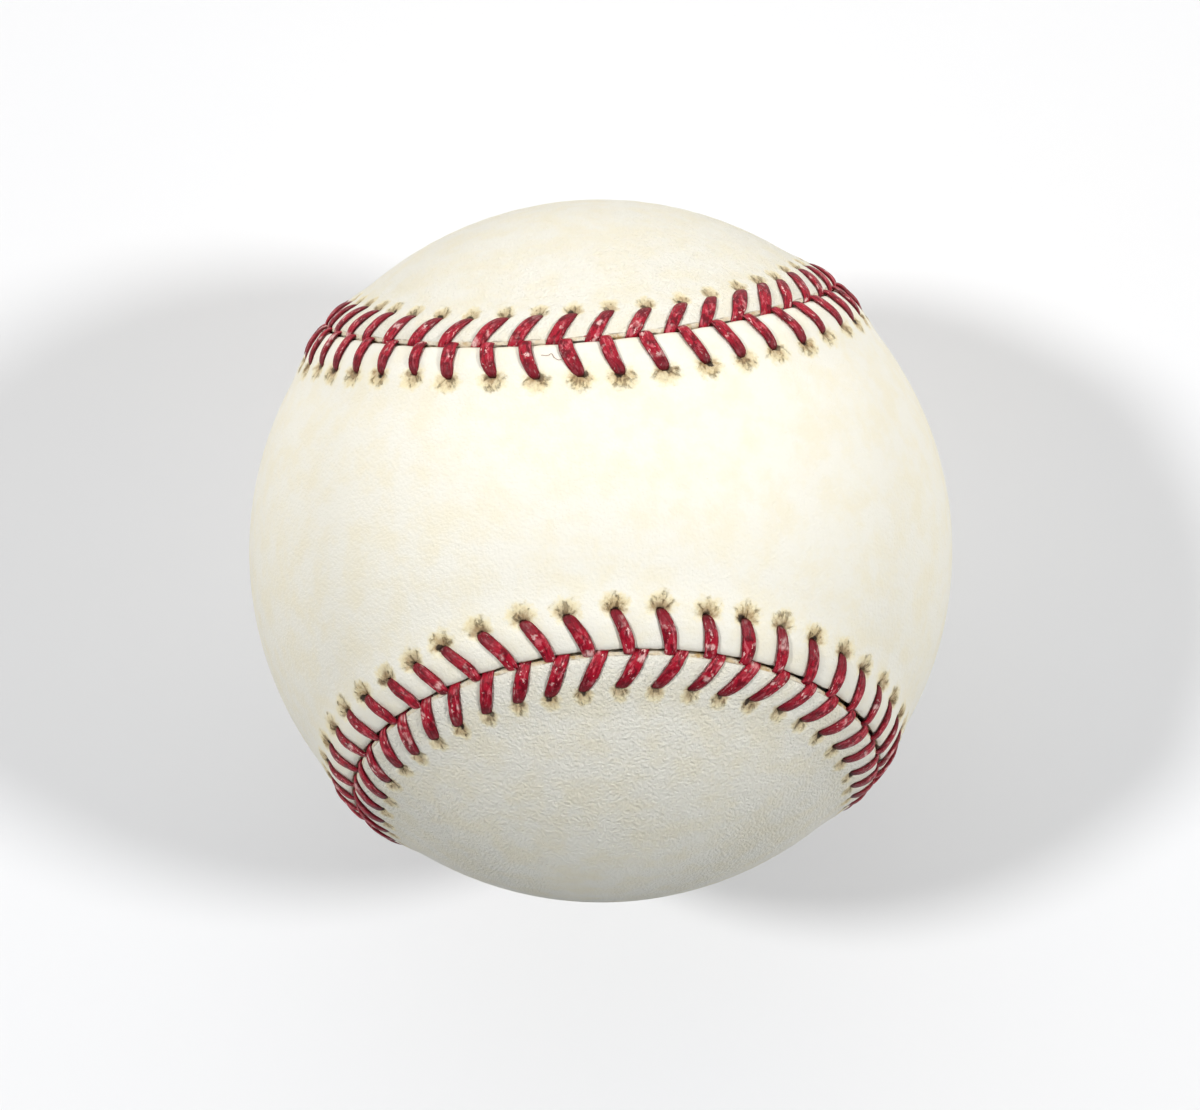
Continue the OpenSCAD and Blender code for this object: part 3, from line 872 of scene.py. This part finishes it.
# %% Loose fibres
FIBRES = {
    "fine_hair": (0.05, (0.30, 0.13, 0.08, 1), (0.50, 0.30, 0.20, 1), [
        (105.3, 1.5), (104.6, 1.55), (104.4, 1.4), (104.1, 1.85), (103.6, 2.15), (103.3, 1.9)]),
    "red_fibre": (0.09, (0.42, 0.02, 0.02, 1), (0.75, 0.16, 0.12, 1), [
        (101.3, -0.45), (100.8, -0.5), (100.4, -0.7), (99.9, -1.0), (99.6, -1.25)]),
}
fibres = []
for name, (thick_mm, dark, light, places) in FIBRES.items():
    curve = bpy.data.curves.new(name, "CURVE")
    curve.dimensions = "3D"
    curve.bevel_depth = thick_mm * MM / 2
    curve.bevel_resolution = 1
    curve.resolution_u = 6
    spline = curve.splines.new("BEZIER")
    spline.bezier_points.add(len(places) - 1)
    for point, (s, q) in zip(spline.bezier_points, places):
        height = float(welt(abs(q), 1 if q > 0 else -1)) + 0.04
        point.co = tuple(place(s, q, ball_r + height))
        point.handle_left_type = point.handle_right_type = "AUTO"
    finish, tree, shader = new_finish(f"{name}_finish")
    cloud = fade(tree, noise(tree, millimetres(tree), 2.0, 3, 0.6), 0.35, 0.65)
    tree.links.new(blend(tree, cloud, dark, light), shader.inputs["Base Color"])
    shader.inputs["Roughness"].default_value = 0.7
    curve.materials.append(finish)
    fibres.append(bpy.data.objects.new(name, curve))
    bpy.context.scene.collection.objects.link(fibres[-1])
print(len(fibres), "loose fibres")

# %% [markdown]
# The new pieces now stand for the plain solids of the frame. They ride on the ball's one body.

# %% Put the cover and the lacing on the ball
for side, name in SIDES.items():
    panels[side].data.materials.append(leathers[side])
    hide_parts(f"cover_panel_{name}")
    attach(panels[side], "root")
for name, thread in threads.items():
    thread.data.materials.append(waxed)
    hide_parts(f"lacing_thread_{name}")
    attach(thread, "root")
for fibre in fibres:
    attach(fibre, "root")

# %% [markdown]
# Inside, the solids of the frame keep their shape and get real finishes. The heart is cork crumb
# pressed with a little black rubber, which a cell pattern gives with one colour for each crumb.

# %% Cork finish
def dress(node, material):
    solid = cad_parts[node]
    solid.data.materials.clear()
    solid.data.materials.append(material)


cork, tree, shader = new_finish("pressed_cork")
at = millimetres(tree)
crumbs = put(tree, "ShaderNodeTexVoronoi", {"Vector": at, "Scale": 0.9})
crumb_tone = put(tree, "ShaderNodeSeparateColor", {0: crumbs.outputs["Color"]}).outputs[0]
color = blend(tree, crumb_tone, (0.30, 0.16, 0.07, 1), (0.62, 0.42, 0.23, 1))
color = blend(tree, fade(tree, crumb_tone, 0.86, 0.9), color, (0.03, 0.03, 0.03, 1))
color = blend(tree, fade(tree, noise(tree, at, 3.5, 3, 0.6), 0.5, 0.75, 0.0, 0.6), color,
              (0.18, 0.09, 0.04, 1))
tree.links.new(color, shader.inputs["Base Color"])
bump = raise_by(tree, crumbs.outputs["Distance"], 0.25, 0.8)
tree.links.new(bump, shader.inputs["Normal"])
shader.inputs["Roughness"].default_value = 0.85
dress("cork_core", cork)

# %% [markdown]
# Three rubbers close the heart: black half shells, red washers between them and a red coat moulded
# over all. They share one recipe: a matt base, cloudy in tone, with the dust and fine pits that a
# mould leaves.

# %% Rubber finishes
def rubber(name, dark, light, rough):
    material, tree, shader = new_finish(name)
    at = millimetres(tree)
    color = blend(tree, fade(tree, noise(tree, at, 0.35, 4, 0.6), 0.3, 0.7), dark, light)
    dust = fade(tree, noise(tree, at, 5.0, 2, 0.6), 0.62, 0.75, 0.0, 0.25)
    color = blend(tree, dust, color, (0.55, 0.5, 0.45, 1))
    tree.links.new(color, shader.inputs["Base Color"])
    bump = raise_by(tree, noise(tree, at, 2.5, 4, 0.65), 0.06)
    tree.links.new(bump, shader.inputs["Normal"])
    shader.inputs["Roughness"].default_value = rough
    return material


black_rubber = rubber("moulded_black_rubber", (0.012, 0.012, 0.013, 1), (0.035, 0.034, 0.033, 1), 0.6)
washer_rubber = rubber("cut_red_rubber", (0.34, 0.02, 0.015, 1), (0.50, 0.05, 0.03, 1), 0.7)
red_rubber = rubber("moulded_red_rubber", (0.30, 0.025, 0.018, 1), (0.46, 0.06, 0.04, 1), 0.62)
for half in ("lower", "upper"):
    dress(f"inner_rubber_shell_{half}", black_rubber)
    dress(f"rubber_washer_{half}", washer_rubber)
dress("outer_rubber_shell", red_rubber)

# %% [markdown]
# Four windings follow: coarse grey wool, white wool, finer grey wool and white cotton. Yarn on a
# wound ball runs in great circles that cross at every angle. Bands of parallel strands in three
# turned directions, each showing in its own patches, give that crossing look, and the bump makes
# every strand round. The valleys between strands are darkened by painted shade.

# %% Yarn finishes
def yarn(name, thread_mm, shade, tone, fuzz):
    material, tree, shader = new_finish(name)
    soft = noise(tree, millimetres(tree), 0.12, 2, 0.5)
    height = None
    for n, turn in enumerate(((0.4, 0.2, 0.0), (1.5, 0.5, 0.9), (0.7, 1.9, 2.2))):
        at = millimetres(tree, rotation=turn)
        wave = put(tree, "ShaderNodeTexWave", {
            "Vector": at, "Scale": 0.31 / thread_mm, "Distortion": 0.6, "Detail": 2.0,
            "Detail Scale": 1.5}, wave_type="BANDS", bands_direction="X").outputs["Fac"]
        if height is None:
            height = wave
        else:
            patch = fade(tree, noise(tree, at, 0.1 + 0.04 * n, 1, 0.4), 0.49, 0.51)
            node = put(tree, "ShaderNodeMix", {0: patch, 2: height, 3: wave}, data_type="FLOAT")
            height = node.outputs[0]
    fluff = noise(tree, millimetres(tree), 7.0, 3, 0.7)
    # Strands darker in the valleys between them: painted shade
    color = blend(tree, height, shade, tone)
    color = blend(tree, fade(tree, soft, 0.35, 0.7, 0.0, 0.3), color, shade)
    color = blend(tree, fade(tree, fluff, 0.55, 0.8, 0.0, fuzz), color, (0.8, 0.78, 0.74, 1))
    tree.links.new(color, shader.inputs["Base Color"])
    bump = raise_by(tree, height, 0.4 * thread_mm)
    bump = raise_by(tree, fluff, 0.1, 0.7, bump)
    tree.links.new(bump, shader.inputs["Normal"])
    shader.inputs["Roughness"].default_value = 0.95
    shader.inputs["Sheen Weight"].default_value = 0.35
    return material


dress("first_winding", yarn("coarse_grey_wool", 1.5, (0.07, 0.07, 0.075, 1), (0.30, 0.30, 0.31, 1), 0.5))
dress("second_winding", yarn("white_wool", 1.1, (0.42, 0.39, 0.31, 1), (0.80, 0.77, 0.67, 1), 0.4))
dress("third_winding", yarn("fine_grey_wool", 0.9, (0.10, 0.10, 0.11, 1), (0.36, 0.36, 0.38, 1), 0.5))
dress("finishing_winding", yarn("white_cotton", 0.5, (0.5, 0.48, 0.4, 1), (0.84, 0.82, 0.75, 1), 0.3))

# %% [markdown]
# A thin coat of rubber cement holds the leather. Dried, it is a patchy amber film with brush marks
# over the yarn, which still shows through as a fine ripple.

# %% Cement finish
cement, tree, shader = new_finish("dried_rubber_cement")
at = millimetres(tree)
brush = noise(tree, millimetres(tree, stretch=(1, 0.25, 0.25)), 1.4, 4, 0.6, 0.5)
color = blend(tree, fade(tree, brush, 0.35, 0.7), (0.72, 0.66, 0.5, 1), (0.50, 0.38, 0.2, 1))
color = blend(tree, fade(tree, noise(tree, at, 0.4, 2), 0.45, 0.7, 0.0, 0.4), color,
              (0.8, 0.76, 0.66, 1))
tree.links.new(color, shader.inputs["Base Color"])
tree.links.new(raise_by(tree, brush, 0.06), shader.inputs["Normal"])
shader.inputs["Roughness"].default_value = 0.38
dress("cement_coat", cement)

# %% [markdown]
# The ball lies on a white table. The floor is one wide sheet at its lowest point. A camera ray sees
# it brighter than a light ray does, so it reads as white paper, still takes the soft shadows of the
# ball and doesn't flood the ball with light from below.

# %% Floor
floor_half = 3.0
paper = (0.75, 0.75, 0.757, 1)
paper_bounce = (0.56, 0.56, 0.56, 1)
paper_glow = 0.11
bm = bmesh.new()
bmesh.ops.create_grid(bm, x_segments=1, y_segments=1, size=floor_half)
bmesh.ops.translate(bm, verts=bm.verts[:], vec=(0, 0, -ball_r * MM))
floor_mesh = bpy.data.meshes.new("white_table")
bm.to_mesh(floor_mesh)
bm.free()
floor = bpy.data.objects.new("white_table", floor_mesh)
bpy.context.scene.collection.objects.link(floor)
table_white, tree, shader = new_finish("white_paper")
at = millimetres(tree)
tone = fade(tree, noise(tree, at, 0.02, 2), 0.3, 0.7)
seen = put(tree, "ShaderNodeLightPath").outputs["Is Camera Ray"]
color = blend(tree, tone, paper, (0.745, 0.747, 0.76, 1))
tree.links.new(blend(tree, seen, paper_bounce, color), shader.inputs["Base Color"])
shader.inputs["Roughness"].default_value = 0.9
shader.inputs["Specular IOR Level"].default_value = 0.1
tree.links.new(calc(tree, "MULTIPLY", seen, paper_glow), shader.inputs["Emission Strength"])
shader.inputs["Emission Color"].default_value = (1, 1, 1, 1)
floor_mesh.materials.append(table_white)

# %% [markdown]
# Two soft round lamps stand left and right of the ball and cast the two broad shadows. The sky
# fills the rest: it is brightest beyond the top of the picture, a little bright at the sides, and
# faint and cool towards the bottom, as in a room with one big window. Each lamp's strength is
# written as the brightness it alone gives to a white sheet that faces it, which for a disc at
# distance d takes a power of pi squared times d squared.

# %% Lamps and sky
def lamp(name, direction, distance, size, brightness):
    data = bpy.data.lights.new(name, "AREA")
    data.shape = "DISK"
    data.size = size
    data.energy = brightness * math.pi ** 2 * distance ** 2
    light = bpy.data.objects.new(name, data)
    bpy.context.scene.collection.objects.link(light)
    towards_light = Vector(direction).normalized()
    light.location = towards_light * distance
    light.rotation_euler = towards_light.to_track_quat("Z", "Y").to_euler()
    print(name, round(data.energy, 2), "W")


lamp("right_lamp", (0.701, -0.108, 0.707), 2.0, 0.32, 0.57)
lamp("left_lamp", (-0.583, 0.050, 0.812), 2.0, 0.30, 0.54)

window_light = 1.85
side_light = 0.4
cool_light = 0.03

world = bpy.data.worlds.new("window_sky")
bpy.context.scene.world = world
world.use_nodes = True
tree = world.node_tree
sky = tree.nodes["Background"]
outward = put(tree, "ShaderNodeSeparateXYZ", {
    0: put(tree, "ShaderNodeTexCoord").outputs["Generated"]})
east, north = outward.outputs[0], outward.outputs[1]
window = calc(tree, "MULTIPLY", calc(tree, "POWER", calc(tree, "MAXIMUM", north, 0.0), 2.0),
              window_light)
sides = calc(tree, "MULTIPLY", calc(tree, "MULTIPLY", east, east), side_light)
cool = calc(tree, "MULTIPLY", calc(tree, "MAXIMUM", calc(tree, "MULTIPLY", north, -1.0), 0.0),
            cool_light)
light = calc(tree, "ADD", calc(tree, "ADD", window, sides), cool)
path = put(tree, "ShaderNodeLightPath")
white = path.outputs["Is Camera Ray"]
strength = put(tree, "ShaderNodeMix", {0: white, 2: light, 3: 1.0}, data_type="FLOAT").outputs[0]
tree.links.new(strength, sky.inputs["Strength"])
unseen = calc(tree, "SUBTRACT", 1.0, white)
warmth = times(tree, fade(tree, calc(tree, "ABSOLUTE", east), 0.4, 0.9), unseen)
coolness = times(tree, fade(tree, north, 0.1, -0.6), unseen)
color = blend(tree, warmth, (1, 1, 1, 1), (1, 0.93, 0.8, 1))
tree.links.new(blend(tree, coolness, color, (0.5, 0.75, 1, 1)), sky.inputs["Color"])
bpy.context.scene.view_settings.view_transform = "Standard"
